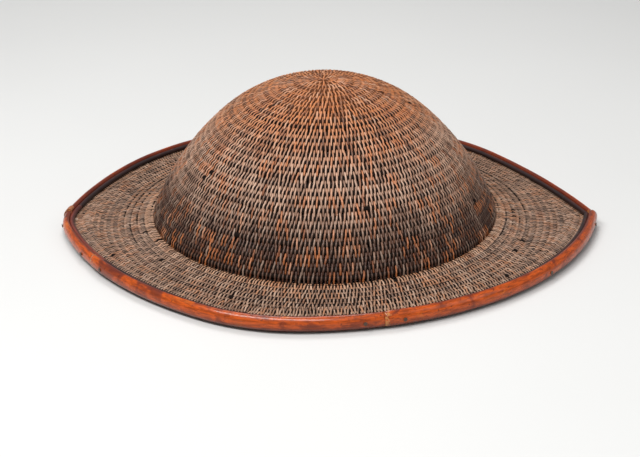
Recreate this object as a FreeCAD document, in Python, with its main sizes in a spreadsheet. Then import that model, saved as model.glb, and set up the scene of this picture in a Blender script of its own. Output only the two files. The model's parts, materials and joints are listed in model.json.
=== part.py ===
import FreeCAD, Part
import math
import os
from FreeCAD import Placement, Rotation, Vector
import Sketcher

# Coiled cane hat: a domed crown of bound courses, a wide brim and a rim of split cane.
# Millimetres, +Z up, front towards -Y. z = 0 is the plane that the lower rim strips rest on.
# The pieces are built about the crown's axis, then set so that the origin is under the middle.

doc = FreeCAD.newDocument("ConicalHat")
sheet = doc.addObject("Spreadsheet::Sheet", "Sizes")

SIZES = [
    # the coil
    ("core_diameter", 4.2, "core cane of the coil"),
    ("strand_thickness", 0.7, "split strand that binds the core"),
    ("core_clearance", 0.2, "room around a core inside its stitching"),
    ("course_gap", 0.2, "room between pieces that are laid side by side"),
    # the crown
    ("crown_courses", 30, "courses from the top to the fold"),
    ("course_pitch", 6.0, "from one crown course to the next, along the outer surface"),
    ("dome_radius", 120.0, "outer radius of the domed top"),
    ("dome_run", 91.0, "length of the domed top along the surface, from the axis"),
    ("flank_radius", 207.0, "outer radius of the straighter flank"),
    # the brim
    ("inner_courses", 5, "brim courses that run round the fold"),
    ("outer_courses", 3, "brim courses that follow the rim"),
    ("short_courses", 5, "most short courses side by side, at the right point"),
    ("brim_pitch", 5.2, "from one brim course to the next, in plan"),
    ("course_drop", 1.04, "fall of the brim at each course"),
    ("short_from", -48.0, "bearing where the short courses begin, in degrees"),
    ("short_to", 264.0, "bearing where the short courses end, in degrees"),
    # the brim's outline: from the fold to the weave's edge, and how the edge curves
    ("front_width", 44.6, "brim width at the front nose"),
    ("back_width", 60.8, "brim width at the back nose"),
    ("left_width", 64.4, "brim width at the left end"),
    ("right_width", 71.2, "brim width at the right point"),
    ("front_nose", -16.0, "sideways place of the outline's front nose"),
    ("back_nose", 0.0, "sideways place of the outline's back nose"),
    ("left_end_radius", 60.0, "outline radius at the left end"),
    # the rim
    ("rim_thickness", 5.4, "rim cane, across"),
    ("rim_height", 10.6, "rim cane, upright"),
    ("lap_step", 0.5, "how far a rim cane stands proud of the one that it laps"),
    ("upper_strip_width", 3.6, "strip that covers the edge of the weave"),
    ("upper_strip_height", 3.6, "strip that covers the edge of the weave"),
    ("lower_strip_width", 3.4, "strip that the hat rests on"),
    ("lower_strip_height", 1.6, "strip that the hat rests on"),
    ("lower_strip_setback", 1.6, "from the weave's edge in to the lower strip"),
    ("collar_length", 7.0, "split cane collar around the rim"),
    ("collar_thickness", 0.7, "split cane collar around the rim"),
    ("pin_diameter", 1.6, "rim pin"),
    ("pin_head_diameter", 2.8, "rim pin head"),
    ("pin_head_height", 0.5, "rim pin head"),
    # the head ring
    ("head_radius", 93.0, "inside of the head band: a 58 cm head with room for hair or a cloth"),
    ("band_thickness", 1.8, "head band"),
    ("band_height", 24.0, "head band"),
    ("band_lift", 4.0, "head band's lower edge above the fold"),
    ("hoop_diameter", 5.0, "round cane hoop around the head band"),
    ("stay_count", 8, "stays that hang the head ring in the crown"),
    ("stay_diameter", 3.6, "stay"),
]
for row, (name, value, note) in enumerate(SIZES, start=1):
    sheet.set("A%d" % row, name)
    sheet.set("B%d" % row, repr(value))
    sheet.set("C%d" % row, note)
    sheet.setAlias("B%d" % row, name)
doc.recompute()


def size(name):
    return float(sheet.get(name))


def count(name):
    return int(round(size(name)))


# Turn of the outline from each nose to the end of its nose arc, and on to the end of its flank.
# The four quarters are (side in X, side in Y): (nose turn, tip turn), in degrees.
TURNS = {
    (1, 1): (54.0, 70.0),
    (-1, 1): (60.0, 78.0),
    (-1, -1): (31.0, 71.0),
    (1, -1): (38.0, 79.0),
}
# Bearings of the joints in the rim, counted from +X towards +Y.
COLLAR_BEARING = 177.0
LEFT_LAP_BEARING = 204.0
FRONT_LAP_BEARING = 283.5
RIM_SPANS = [
    ("rim_cane_back", 0.0, COLLAR_BEARING, 0),
    ("rim_cane_left_end", COLLAR_BEARING, LEFT_LAP_BEARING, 0),
    ("rim_cane_front_left", LEFT_LAP_BEARING, FRONT_LAP_BEARING, 1),
    ("rim_cane_front_right", FRONT_LAP_BEARING, 360.0, 2),
]
PIN_ROOM = 0.2
PIN_BEARINGS = (3.0, 90.0, 172.0, 183.0, 199.0, 209.0, 279.0, 288.0, 329.0, 356.5)

# ---- shared sizes that follow from the sheet ----

wall = size("core_diameter") + 2 * size("strand_thickness")
gap = size("course_gap")
dome_turn = size("dome_run") / size("dome_radius")
crown_run = size("crown_courses") * size("course_pitch")
foot_turn = dome_turn + (crown_run - size("dome_run")) / size("flank_radius")
# radius of the flank arc's centre, on the far side of the axis
flank_offset = (size("dome_radius") - size("flank_radius")) * math.sin(dome_turn)
foot_radius = flank_offset + size("flank_radius") * math.sin(foot_turn)
crown_height = (
    size("dome_radius") * (1 - math.cos(dome_turn))
    + size("flank_radius") * (math.cos(dome_turn) - math.cos(foot_turn))
)
brim_slope = size("course_drop") / size("brim_pitch")
brim_tilt = math.atan(brim_slope)
weave_depth = wall / math.cos(brim_tilt)
full_courses = count("inner_courses") + count("outer_courses")
edge_z = size("lower_strip_height") + gap + weave_depth
fold_z = edge_z + full_courses * size("course_drop")
top_z = fold_z + crown_height
dome_centre_z = top_z - size("dome_radius")
flank_centre_z = dome_centre_z + (size("dome_radius") - size("flank_radius")) * math.cos(dome_turn)

reach = {
    "front": foot_radius + size("front_width"),
    "back": foot_radius + size("back_width"),
    "left": foot_radius + size("left_width"),
    "right": foot_radius + size("right_width"),
}
# The crown's axis from the origin, so that the origin is under the middle of the outline.
axis_place = Vector((reach["left"] - reach["right"]) / 2, (reach["front"] - reach["back"]) / 2, 0)

AXIS = Vector(0, 0, 1)
ORIGIN = Vector(0, 0, 0)
nodes = []


def node(obj):
    """Count a finished document object as a piece of its own."""
    nodes.append(obj)
    return obj


def seat(obj):
    """Bind an object's place to the crown's axis."""
    obj.setExpression(".Placement.Base.x", "%r mm" % axis_place.x)
    obj.setExpression(".Placement.Base.y", "%r mm" % axis_place.y)
    return obj


def feature(label, shape):
    """A piece whose shape comes from Part's own functions."""
    obj = doc.addObject("Part::Feature", label)
    obj.Label = label
    obj.Shape = shape
    obj.Placement = Placement(axis_place, Rotation())
    return obj


def crown_point(run, depth):
    """Radius and height of the point at a run from the top, at a depth below the surface."""
    if run <= size("dome_run"):
        turn = run / size("dome_radius")
        arm = size("dome_radius") - depth
        return arm * math.sin(turn), dome_centre_z + arm * math.cos(turn)
    turn = dome_turn + (run - size("dome_run")) / size("flank_radius")
    arm = size("flank_radius") - depth
    return flank_offset + arm * math.sin(turn), flank_centre_z + arm * math.cos(turn)


def brim_top(beyond_edge):
    """Height of the weave's upper surface, at a plan distance from its edge (inwards is less)."""
    return edge_z - beyond_edge * brim_slope


# ---- the crown and the inner brim: courses of revolution ----


def torus(name, major, height, room):
    """One ring of core cane, or the room for it, bound to the sheet's core diameter."""
    ring = doc.addObject("Part::Torus", name)
    ring.Radius1 = major
    spare = " + Sizes.core_clearance" if room else ""
    ring.setExpression("Radius2", "Sizes.core_diameter / 2" + spare)
    ring.Placement = Placement(Vector(0, 0, height), Rotation())
    return ring


def group(label, members):
    """Several solids in one piece's node."""
    bundle = doc.addObject("Part::Compound", label)
    bundle.Label = label
    bundle.Links = members
    return seat(bundle)


def split_evenly(items, parts):
    """Cut a list into runs of about equal total ring length."""
    total = sum(radius for radius, _ in items)
    runs = [[] for _ in range(parts)]
    done = 0.0
    for item in items:
        runs[min(parts - 1, int(parts * (done + item[0] / 2) / total))].append(item)
        done += item[0]
    return runs


crown_rings = [
    crown_point((course - 0.5) * size("course_pitch"), wall / 2)
    for course in range(1, count("crown_courses") + 1)
]
inner_rings = [
    (
        foot_radius + (course + 0.5) * size("brim_pitch") - wall / 2 * math.sin(brim_tilt),
        fold_z - (course + 0.5) * size("course_drop") - wall / 2 * math.cos(brim_tilt),
    )
    for course in range(count("inner_courses"))
]


def revolved_body(label, points, arcs):
    """A body of revolution about Z: a closed sketch of lines and arcs in the XZ plane.

    arcs maps the index of an edge to (centre, sheet name of its outer radius, depth below it).
    """
    body = doc.addObject("PartDesign::Body", label)
    body.Label = label
    upright = [plane for plane in body.Origin.OriginFeatures if plane.Role == "XZ_Plane"][0]
    spindle = [line for line in body.Origin.OriginFeatures if line.Role == "Z_Axis"][0]
    sketch = body.newObject("Sketcher::SketchObject", label + "_section")
    sketch.AttachmentSupport = [(upright, "")]
    sketch.MapMode = "FlatFace"
    flat = [Vector(x, z, 0) for x, z in points]
    for index, start in enumerate(flat):
        end = flat[(index + 1) % len(flat)]
        if index not in arcs:
            sketch.addGeometry(Part.LineSegment(start, end), False)
            continue
        (x, z), radius_name, depth = arcs[index]
        circle = Part.Circle(Vector(x, z, 0), AXIS, size(radius_name) - depth)
        first = math.atan2(start.y - z, start.x - x)
        last = math.atan2(end.y - z, end.x - x)
        sketch.addGeometry(Part.ArcOfCircle(circle, min(first, last), max(first, last)), False)
        rule = sketch.addConstraint(
            Sketcher.Constraint("Radius", index, size(radius_name) - depth)
        )
        thickness = " - 2 * Sizes.strand_thickness - Sizes.core_diameter" if depth else ""
        radius = "(Sizes.%s%s) * 1 mm" % (radius_name, thickness)
        sketch.setExpression("Constraints[%d]" % rule, radius)
    turn = body.newObject("PartDesign::Revolution", label + "_turn")
    turn.Profile = sketch
    turn.ReferenceAxis = (spindle, [""])
    turn.Angle = 360
    body.Tip = turn
    return body


def bored(label, blank, rings):
    """A stitched wall: the blank less the room for each of its core rings."""
    rooms = doc.addObject("Part::Compound", label + "_rooms")
    rooms.Links = [
        torus("%s_room_%d" % (label, number), major, height, True)
        for number, (major, height) in enumerate(rings, start=1)
    ]
    cut = doc.addObject("Part::Cut", label)
    cut.Label = label
    cut.Base = blank
    cut.Tool = rooms
    return seat(cut)


# The fold: where the crown's inner face meets the underside of the brim.
foot_inner = crown_point(crown_run, wall)
under_fold = (foot_radius - wall * math.sin(brim_tilt), fold_z - wall * math.cos(brim_tilt))
steep = math.tan(foot_turn)
fold_x = (
    under_fold[1] + under_fold[0] * brim_slope - foot_inner[1] - foot_inner[0] * steep
) / (brim_slope - steep)
fold_inner = (fold_x, foot_inner[1] - (fold_x - foot_inner[0]) * steep)


def crown_blank():
    dome_out = (0.0, dome_centre_z), "dome_radius", 0.0
    flank_out = (flank_offset, flank_centre_z), "flank_radius", 0.0
    dome_in = (0.0, dome_centre_z), "dome_radius", wall
    flank_in = (flank_offset, flank_centre_z), "flank_radius", wall
    points = [
        (0.0, top_z),
        crown_point(size("dome_run"), 0),
        (foot_radius, fold_z),
        fold_inner,
        foot_inner,
        crown_point(size("dome_run"), wall),
        (0.0, top_z - wall),
    ]
    return revolved_body("crown_blank", points, {0: dome_out, 1: flank_out, 4: flank_in, 5: dome_in})


def inner_brim_blank():
    width = count("inner_courses") * size("brim_pitch")
    fall = count("inner_courses") * size("course_drop")
    points = [
        (foot_radius + gap, fold_z - gap * brim_slope),
        (foot_radius + width, fold_z - fall),
        (foot_radius + width, fold_z - fall - weave_depth),
        (fold_inner[0] + gap, fold_inner[1] - gap * brim_slope),
    ]
    return revolved_body("inner_brim_blank", points, {})


def crown_pieces():
    start = doc.addObject("Part::Torus", "coil_start")
    start.Label = "coil_start"
    start.setExpression("Radius1", "Sizes.course_pitch / 2")
    start.setExpression("Radius2", "Sizes.core_diameter / 2")
    start.Placement = Placement(Vector(0, 0, crown_rings[0][1]), Rotation())
    node(seat(start))
    for number, run in enumerate(split_evenly(crown_rings[1:], 5), start=1):
        label = "crown_core_cane_%d" % number
        node(group(label, [torus("%s_ring" % label, major, height, False) for major, height in run]))
    node(bored("crown_stitching", crown_blank(), crown_rings))


def inner_brim_pieces():
    for number, run in enumerate(split_evenly(inner_rings, 2), start=1):
        label = "inner_brim_core_cane_%d" % number
        node(group(label, [torus("%s_ring" % label, major, height, False) for major, height in run]))
    node(bored("inner_brim_stitching", inner_brim_blank(), inner_rings))


# ---- the outline of the brim: arcs that meet in line, and a corner at the right point ----


def quarter_arcs(side_x, side_y):
    """Arcs of one quarter, from its nose to its tip: (centre, radius, start, end) in degrees."""
    nose_x = size("front_nose") if side_y < 0 else size("back_nose")
    width = reach["right"] - nose_x if side_x > 0 else reach["left"] + nose_x
    depth = reach["back"] if side_y > 0 else reach["front"]
    nose_turn, tip_turn = (math.radians(turn) for turn in TURNS[(side_x, side_y)])
    rounding = size("left_end_radius") if side_x < 0 else 0.0
    # two radii that take the curve from the nose to the tip, or to the start of the round end
    across = width - rounding * (1 - math.sin(tip_turn))
    along = depth - rounding * math.cos(tip_turn)
    nose_x_share, nose_y_share = math.sin(nose_turn), 1 - math.cos(nose_turn)
    flank_x_share = math.sin(tip_turn) - math.sin(nose_turn)
    flank_y_share = math.cos(nose_turn) - math.cos(tip_turn)
    scale = nose_x_share * flank_y_share - flank_x_share * nose_y_share
    nose_radius = (across * flank_y_share - flank_x_share * along) / scale
    flank_radius = (nose_x_share * along - across * nose_y_share) / scale
    nose_centre = (0.0, depth - nose_radius)
    flank_centre = (
        (nose_radius - flank_radius) * math.sin(nose_turn),
        nose_centre[1] + (nose_radius - flank_radius) * math.cos(nose_turn),
    )
    runs = [(nose_centre, nose_radius, 0.0, nose_turn), (flank_centre, flank_radius, nose_turn, tip_turn)]
    if rounding:
        runs.append(((width - rounding, 0.0), rounding, tip_turn, math.pi / 2))
    arcs = []
    for (x, y), radius, first, last in runs:
        centre = Vector(nose_x + side_x * x, side_y * y, 0)
        bearings = [
            math.degrees(math.atan2(side_y * math.cos(turn), side_x * math.sin(turn)))
            for turn in (first, last)
        ]
        start, end = (bearings[1], bearings[0]) if side_x * side_y > 0 else bearings
        arcs.append((centre, radius, start % 360, (end - start) % 360))
    return arcs


def outline_arcs():
    """All the arcs, counter-clockwise from the right point."""
    back_right = quarter_arcs(1, 1)[::-1]
    back_left = quarter_arcs(-1, 1)
    front_left = quarter_arcs(-1, -1)[::-1]
    front_right = quarter_arcs(1, -1)
    return back_right + back_left + front_left + front_right


ARCS = outline_arcs()
TIP = Vector(reach["right"], 0, 0)
TIP_OVERRUN = 8.0
TIP_BISECTOR = (TURNS[(1, -1)][1] - TURNS[(1, 1)][1]) / 2
SPAN = 3 * max(reach.values())
BEARING_STEP = 1.0
SHORTEST_CANE = 5.0


def edge_spot(bearing):
    """Where the outline lies at a bearing from the crown's axis, and which way it faces there."""
    out = Vector(math.cos(math.radians(bearing)), math.sin(math.radians(bearing)), 0)
    best, facing = 0.0, out
    for centre, radius, start, sweep in ARCS:
        along = centre.dot(out)
        off = (centre - out * along).Length
        if off > radius:
            continue
        hit = along + math.sqrt(radius * radius - off * off)
        place = out * hit - centre
        turn = math.degrees(math.atan2(place.y, place.x)) % 360
        if (turn - start + 0.01) % 360 <= sweep + 0.02 and hit > best:
            best, facing = hit, place * (1 / radius)
    return out * best, facing


def tip_side(side_y):
    """Everything on one side of the plane that splits the right point, less half a gap."""
    low = gap / 2 if side_y > 0 else -SPAN - gap / 2
    block = Part.makeBox(2 * SPAN, SPAN, SPAN, Vector(-SPAN, low, -SPAN / 2))
    block.Placement = Placement(TIP, Rotation(AXIS, TIP_BISECTOR))
    return block


def sector(section, arc, overrun_start, overrun_end):
    """The section swept along one arc of the outline."""
    centre, radius, start, sweep = arc
    face = section.copy()
    face.translate(Vector(radius, 0, 0))
    face.rotate(ORIGIN, AXIS, start - overrun_start)
    face.translate(centre)
    return face.revolve(centre, AXIS, sweep + overrun_start + overrun_end)


def loop(section):
    """The section swept round the whole outline, open at the right point."""
    sectors = []
    for index, arc in enumerate(ARCS):
        first, last = index == 0, index == len(ARCS) - 1
        piece = sector(section, arc, TIP_OVERRUN if first else 0, TIP_OVERRUN if last else 0)
        if first:
            piece = piece.common(tip_side(1))
        if last:
            piece = piece.common(tip_side(-1))
        sectors.append(piece)
    return sectors[0].multiFuse(sectors[1:])


def wedge(start, end):
    """Everything between two bearings about the crown's axis, less half a gap at each."""
    trim = math.degrees(gap / 2 / reach["front"])
    first, last = start + trim, end - trim
    steps = max(2, math.ceil((last - first) / 60))
    corners = [Vector(0, 0, -SPAN / 4)]
    for step in range(steps + 1):
        bearing = math.radians(first + (last - first) * step / steps)
        corners.append(Vector(SPAN * math.cos(bearing), SPAN * math.sin(bearing), -SPAN / 4))
    corners.append(corners[0])
    return Part.Face(Part.makePolygon(corners)).extrude(Vector(0, 0, SPAN / 2))


def face_of(edges):
    return Part.Face(Part.Wire(edges))


def line(first, last):
    return Part.makeLine(Vector(first[0], 0, first[1]), Vector(last[0], 0, last[1]))


def bow(first, middle, last):
    ends = [Vector(x, 0, z) for x, z in (first, middle, last)]
    return Part.Arc(*ends).toShape()


def outline_region(inset, bottom, depth):
    """A flat plate of the outline, drawn in by an inset."""
    edges = []
    for centre, radius, start, sweep in ARCS:
        circle = Part.Circle(centre, AXIS, radius)
        edges.append(circle.toShape(math.radians(start), math.radians(start + sweep)))
    wire = Part.Wire(edges)
    drawn = wire.makeOffset2D(-inset, 2) if inset else wire
    plate = Part.Face(drawn).extrude(Vector(0, 0, depth))
    plate.translate(Vector(0, 0, bottom))
    return plate


# ---- the outer brim ----


def outer_brim_pieces():
    pitch = size("brim_pitch")
    width = count("outer_courses") * pitch
    corners = [
        (-width, brim_top(-width)),
        (0.0, brim_top(0)),
        (0.0, brim_top(0) - weave_depth),
        (-width, brim_top(-width) - weave_depth),
    ]
    blank = face_of([line(corners[index - 1], corners[index]) for index in range(4)])
    centres = [
        Vector(-(course + 0.5) * pitch, 0, brim_top(-(course + 0.5) * pitch) - weave_depth / 2)
        for course in range(count("outer_courses"))
    ]
    core = size("core_diameter") / 2
    room = core + size("core_clearance")

    for number, centre in enumerate(centres, start=1):
        node(feature("outer_brim_core_cane_%d" % number, loop(disc(centre, core))))
    section = blank.cut(Part.makeCompound([disc(centre, room) for centre in centres]))
    node(feature("outer_brim_stitching", loop(section.Faces[0])))


def disc(centre, radius):
    return Part.Face(Part.Wire(Part.makeCircle(radius, centre, Vector(0, 1, 0))))


def arc_of_cane(middle, radius, start, end):
    """Round cane bent about the crown's axis, between two bearings."""
    face = disc(middle, radius)
    face.rotate(ORIGIN, AXIS, start)
    return face.revolve(ORIGIN, AXIS, end - start)


def bearings_within(distance, inset):
    """The runs of bearings where the outline, drawn in by an inset, leaves a distance free."""
    runs = []
    end_trim = math.degrees(size("core_diameter") / distance)
    bearing, last = size("short_from") + end_trim, size("short_to") - end_trim
    while bearing < last:
        if edge_spot(bearing)[0].Length - inset > distance:
            if not runs or bearing - runs[-1][1] > 1.5 * BEARING_STEP:
                runs.append([bearing, bearing])
            runs[-1][1] = bearing
        bearing += BEARING_STEP
    return [(start, end) for start, end in runs if end - start > SHORTEST_CANE]


def short_course_pieces():
    """The courses that fill the brim between the round courses and those along the rim."""
    pitch = size("brim_pitch")
    inner = foot_radius + count("inner_courses") * pitch + gap
    inset = count("outer_courses") * pitch + gap
    upper = brim_top(-count("outer_courses") * pitch)
    plate = outline_region(inset, upper - weave_depth, weave_depth)
    plate = plate.cut(Part.makeCylinder(inner, SPAN, Vector(0, 0, -SPAN / 2)))
    plate = plate.common(wedge(size("short_from"), size("short_to")))
    core = size("core_diameter") / 2
    room = core + size("core_clearance")
    cores, rooms = [], []
    for course in range(count("short_courses")):
        major = inner + (course + 0.5) * pitch
        middle = Vector(major, 0, upper - weave_depth / 2)
        for start, end in bearings_within(major + core + size("strand_thickness"), inset):
            cores.append(arc_of_cane(middle, core, start, end))
            trim = math.degrees(gap / major)
            rooms.append(arc_of_cane(middle, room, start - trim, end + trim))
    node(feature("short_course_canes", Part.makeCompound(cores)))
    node(feature("short_course_stitching", plate.cut(Part.makeCompound(rooms))))


# ---- the rim ----

rim_bottom = size("lower_strip_height") + gap
rim_top = rim_bottom + size("rim_height")


def cane_section(proud):
    """Split cane on edge: a flat inner face and a full round outer face."""
    inside, outside = gap, gap + size("rim_thickness") + proud
    low, high = rim_bottom - proud / 2, rim_top + proud
    crest = inside + 0.42 * size("rim_thickness")
    shoulder = inside + 0.35 * (crest - inside)
    ease = 0.14 * size("rim_height")
    return face_of(
        [
            line((inside, low + ease), (inside, high - ease)),
            bow((inside, high - ease), (shoulder, high - 0.3 * ease), (crest, high)),
            bow((crest, high), (outside, (low + high) / 2), (crest, low)),
            bow((crest, low), (shoulder, low + 0.3 * ease), (inside, low + ease)),
        ]
    )


def rim_laps(bearing):
    """How many laps the rim cane at a bearing stands proud."""
    return [laps for _, start, end, laps in RIM_SPANS if start <= bearing <= end][0]


def pin_tools(room):
    """Pins along the rim's mid height: a shank through the cane and a low round head outside."""
    pins = []
    for bearing in PIN_BEARINGS:
        edge, out = edge_spot(bearing)
        edge.z = (rim_bottom + rim_top) / 2
        outer = gap + size("rim_thickness") + size("lap_step") * rim_laps(bearing)
        shank_radius = size("pin_diameter") / 2 + room
        pin = Part.makeCylinder(shank_radius, outer + 2 * room - 2 * gap, edge + out * (2 * gap), out)
        if not room:
            head_radius, head_height = size("pin_head_diameter") / 2, size("pin_head_height")
            pin = pin.fuse(Part.makeCylinder(head_radius, head_height, edge + out * outer, out))
        pins.append(pin)
    return Part.makeCompound(pins)


def rim_pieces():
    step = size("lap_step")
    holes = pin_tools(PIN_ROOM)
    rings = {}
    for label, start, end, laps in RIM_SPANS:
        if laps not in rings:
            rings[laps] = loop(cane_section(laps * step))
        clip = wedge(start - (10 if start == 0 else 0), end + (10 if end == 360 else 0))
        cane = rings[laps].common(clip)
        solid = max(cane.cut(holes).Solids, key=lambda body: body.Volume)
        node(feature(label, solid))


def strip_pieces():
    """Upper strips cover the weave's edge. Lower strips lie under it and carry the hat."""
    wide, high = size("upper_strip_width"), size("upper_strip_height")
    inner, outer = -wide, -gap / 2
    crest = (inner + outer) / 2
    upper = face_of(
        [
            line((inner, brim_top(inner) + gap / 2), (outer, brim_top(outer) + gap / 2)),
            line((outer, brim_top(outer) + gap / 2), (outer, edge_z + 0.8 * high)),
            bow((outer, edge_z + 0.8 * high), (crest, edge_z + high), (inner, edge_z + 0.7 * high)),
            line((inner, edge_z + 0.7 * high), (inner, brim_top(inner) + gap / 2)),
        ]
    )
    outer = -size("lower_strip_setback")
    inner = outer - size("lower_strip_width")
    tops = [brim_top(place) - weave_depth - gap / 2 for place in (inner, outer)]
    corners = [(inner, 0.0), (outer, 0.0), (outer, tops[1]), (inner, tops[0])]
    lower = face_of([line(corners[index - 1], corners[index]) for index in range(4)])
    upper_spans = [
        ("upper_strip_back", -10.0, 174.0),
        ("upper_strip_left_end", 174.0, 207.0),
        ("upper_strip_front", 207.0, 370.0),
    ]
    lower_spans = [("lower_strip_back", -10.0, 180.0), ("lower_strip_front", 180.0, 370.0)]
    for section, spans in ((upper, upper_spans), (lower, lower_spans)):
        ring = loop(section)
        for label, start, end in spans:
            cut = ring.common(wedge(start, end))
            node(feature(label, max(cut.Solids, key=lambda body: body.Volume)))


def collar_piece():
    """A band of split cane round the outside of the rim, where two canes meet."""
    half = math.degrees(size("collar_length") / 2 / reach["left"])
    clip = wedge(COLLAR_BEARING - half, COLLAR_BEARING + half)
    shell = loop(cane_section(gap + size("collar_thickness"))).cut(loop(cane_section(gap)))
    node(feature("rim_collar", max(shell.common(clip).Solids, key=lambda body: body.Volume)))


# ---- the head ring ----

band_low = fold_z + size("band_lift")
hoop_radius = size("head_radius") + size("band_thickness") + gap / 2 + size("hoop_diameter") / 2
hoop_z = band_low + size("band_height") * 0.3
stay_radius = hoop_radius + size("hoop_diameter") / 2 + gap / 2 + size("stay_diameter") / 2


def head_band():
    """A hoop of split cane that sits on the head."""
    tube = []
    for name, grow in (("head_band_outer", " + Sizes.band_thickness"), ("head_band_bore", "")):
        part = doc.addObject("Part::Cylinder", name)
        part.setExpression("Radius", "Sizes.head_radius" + grow)
        part.setExpression("Height", "Sizes.band_height")
        part.Placement = Placement(Vector(0, 0, band_low), Rotation())
        tube.append(part)
    band = doc.addObject("Part::Cut", "head_band")
    band.Label = "head_band"
    band.Base, band.Tool = tube
    node(seat(band))


def head_hoop():
    """The round hoop around the band, which the stays are tied to."""
    hoop = doc.addObject("Part::Torus", "head_hoop")
    hoop.Label = "head_hoop"
    hoop.Radius1 = hoop_radius
    hoop.setExpression("Radius2", "Sizes.hoop_diameter / 2")
    hoop.Placement = Placement(Vector(0, 0, hoop_z), Rotation())
    node(seat(hoop))


def inner_wall_height(radius):
    """Height of the crown's inner face at a radius."""
    dome_edge = crown_point(size("dome_run"), wall)
    if radius <= dome_edge[0]:
        arm, centre_x, centre_z = size("dome_radius") - wall, 0.0, dome_centre_z
    else:
        arm, centre_x, centre_z = size("flank_radius") - wall, flank_offset, flank_centre_z
    return centre_z + math.sqrt(arm * arm - (radius - centre_x) ** 2)


def head_ring_stays():
    """Upright stays from the hoop to the crown's inner face."""
    low = hoop_z - size("hoop_diameter")
    top = inner_wall_height(stay_radius + size("stay_diameter") / 2) - gap
    stays = []
    for index in range(count("stay_count")):
        bearing = 360.0 * (index + 0.5) / count("stay_count")
        stay = doc.addObject("Part::Cylinder", "stay")
        stay.setExpression("Radius", "Sizes.stay_diameter / 2")
        stay.Height = top - low
        spot = Rotation(AXIS, bearing).multVec(Vector(stay_radius, 0, low))
        stay.Placement = Placement(spot, Rotation())
        stays.append(stay)
    node(group("head_ring_stays", stays))


crown_pieces()
inner_brim_pieces()
outer_brim_pieces()
short_course_pieces()
rim_pieces()
strip_pieces()
collar_piece()
node(feature("rim_pins", pin_tools(0.0)))
head_band()
head_hoop()
head_ring_stays()

# ---- check and write ----

doc.recompute()
for obj in doc.Objects:
    if "Invalid" in obj.State or "Error" in obj.State:
        raise RuntimeError("%s did not compute: %s" % (obj.Label, obj.State))
os.makedirs("parts", exist_ok=True)
box = FreeCAD.BoundBox()
for obj in nodes:
    shape = obj.Shape
    if shape.isNull() or not shape.isValid() or not shape.Solids:
        raise RuntimeError("%s has no sound solid" % obj.Label)
    box.add(shape.optimalBoundingBox(False, False))
    shape.exportStep("parts/%s.step" % obj.Label)
    print("%-26s %2d solid(s) %10.1f mm3" % (obj.Label, len(shape.Solids), shape.Volume))
print("%d nodes, box %s" % (len(nodes), box))
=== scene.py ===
"""Coiled cane hat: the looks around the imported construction. Metres, +Z up, front towards -Y.

Every strand of the stitching is its own short length of split cane, laid over the core canes of
the construction. The rim is a set of lacquered split canes with cut, lapped ends.
"""

import json
import math
import bmesh
import bpy
import numpy as np
from mathutils import Matrix, Vector
from mathutils.bvhtree import BVHTree

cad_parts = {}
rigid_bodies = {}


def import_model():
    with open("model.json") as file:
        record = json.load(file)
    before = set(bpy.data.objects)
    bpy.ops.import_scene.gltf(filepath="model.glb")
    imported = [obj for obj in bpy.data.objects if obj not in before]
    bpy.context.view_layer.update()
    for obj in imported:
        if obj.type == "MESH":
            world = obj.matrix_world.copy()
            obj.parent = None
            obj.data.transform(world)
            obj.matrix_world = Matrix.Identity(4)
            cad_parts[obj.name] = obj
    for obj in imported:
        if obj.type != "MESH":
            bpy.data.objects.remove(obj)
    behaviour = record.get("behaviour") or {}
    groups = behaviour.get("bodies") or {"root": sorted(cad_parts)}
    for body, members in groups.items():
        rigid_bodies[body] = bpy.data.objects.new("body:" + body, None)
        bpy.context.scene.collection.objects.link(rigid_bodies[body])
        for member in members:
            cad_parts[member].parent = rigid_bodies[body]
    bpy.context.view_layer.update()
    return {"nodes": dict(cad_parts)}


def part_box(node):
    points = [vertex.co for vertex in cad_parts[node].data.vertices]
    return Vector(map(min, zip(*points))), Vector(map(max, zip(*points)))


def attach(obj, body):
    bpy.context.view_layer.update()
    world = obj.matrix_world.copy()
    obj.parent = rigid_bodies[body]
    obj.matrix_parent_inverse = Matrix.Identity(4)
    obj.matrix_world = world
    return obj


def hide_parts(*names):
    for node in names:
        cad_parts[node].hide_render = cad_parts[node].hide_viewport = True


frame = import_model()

bl_info = {
    "name": "Coiled cane hat",
    "version": (1, 0, 0),
    "blender": (4, 5, 0),
    "location": "View3D > Sidebar > Cane hat",
    "description": "Stitching, rim, head ring and finishes of a coiled cane hat",
    "category": "Object",
}

MM = 0.001

# ---- places read from the frame ----

CROWN_LOW, CROWN_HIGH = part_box("crown_stitching")
AXIS_X = (CROWN_LOW.x + CROWN_HIGH.x) / 2
AXIS_Y = (CROWN_LOW.y + CROWN_HIGH.y) / 2
TOP_Z = CROWN_HIGH.z
FOLD_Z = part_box("inner_brim_stitching")[1].z
FOOT_RADIUS = (CROWN_HIGH.x - CROWN_LOW.x) / 2
INNER_RADIUS = (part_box("inner_brim_stitching")[1].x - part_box("inner_brim_stitching")[0].x) / 2
SHORT_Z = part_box("short_course_stitching")[1].z
EDGE_LOW, EDGE_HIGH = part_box("outer_brim_stitching")
RIM_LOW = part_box("rim_cane_back")[0].z
RIM_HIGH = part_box("rim_cane_back")[1].z


BRIM_PITCH = 5.2 * MM


def length(name, description, value):
    return bpy.props.FloatProperty(
        name=name, description=description, default=value, unit="LENGTH")


def tint(name, description, value):
    return bpy.props.FloatVectorProperty(
        name=name, description=description, subtype="COLOR", size=3, default=value)


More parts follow.
